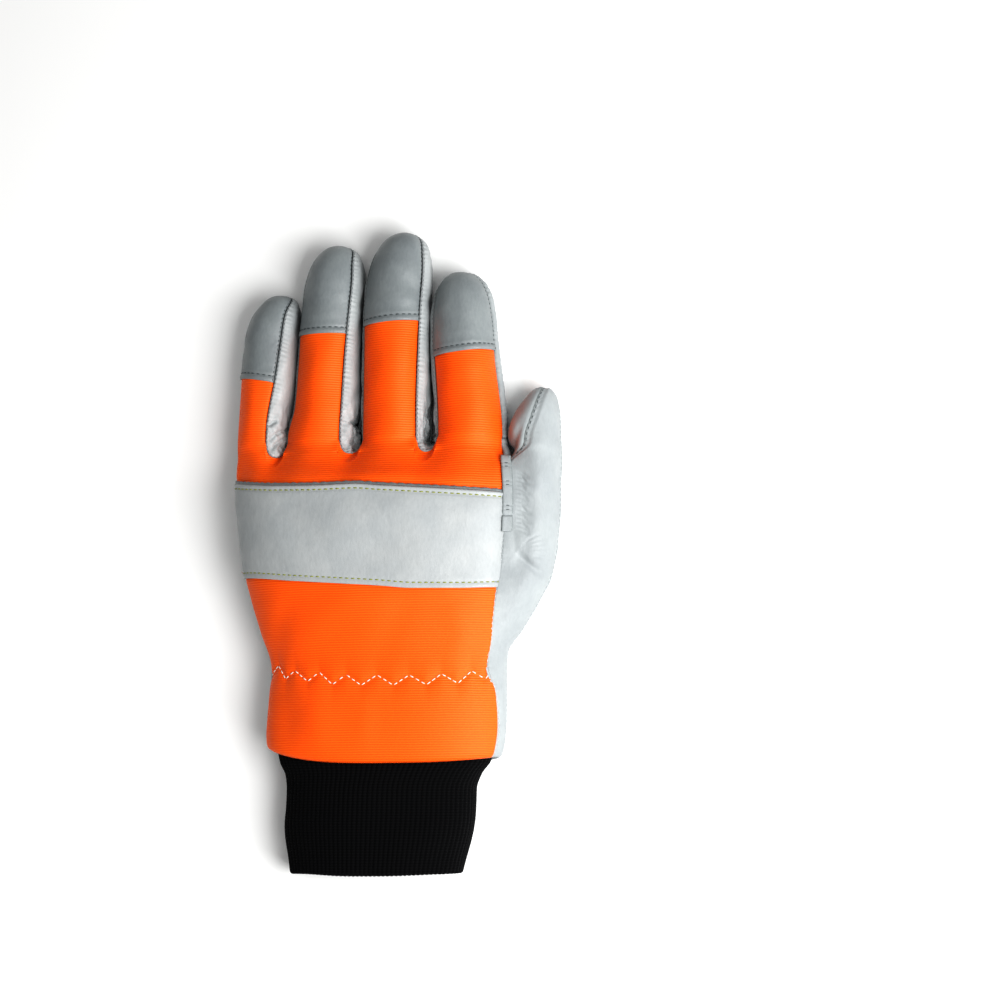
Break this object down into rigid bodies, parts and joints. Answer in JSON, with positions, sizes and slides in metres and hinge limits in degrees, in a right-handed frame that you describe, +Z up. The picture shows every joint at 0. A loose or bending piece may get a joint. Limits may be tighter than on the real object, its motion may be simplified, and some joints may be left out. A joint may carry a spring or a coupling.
{
  "type": "protective work glove",
  "caption": "Left-hand cut-protection work glove with a leather palm and fingertips, a high-visibility cloth back, a knuckle band and a knitted wrist, lying palm down.",
  "frame": {"origin": "centre of the bounding box's underside, on the surface the glove lies on", "axes": "+Y from the cuff to the fingertips, +X towards the thumb side, +Z up from the palm to the back of the hand"},
  "size_m": [0.1398, 0.27, 0.0384],
  "materials": {
    "palm_leather": "smooth grain",
    "side_leather": "smooth grain",
    "cap_leather": "smooth grain",
    "band_leather": "satin",
    "back_cloth": "finely ribbed",
    "knit": "rib knit"
  },
  "bodies": {
    "root": {"palm_leather": "palm_leather", "thumb_back": "palm_leather", "palm_patch": "palm_leather", "patch_end": "palm_leather", "side_strip_little_ring": "side_leather", "side_strip_ring_middle": "side_leather", "side_strip_middle_index": "side_leather", "cap_little": "cap_leather", "cap_ring": "cap_leather", "cap_middle": "cap_leather", "cap_index": "cap_leather", "back_upper": "back_cloth", "back_lower": "back_cloth", "knuckle_band": "band_leather", "knit_cuff": "knit"}
  },
  "joints": []
}
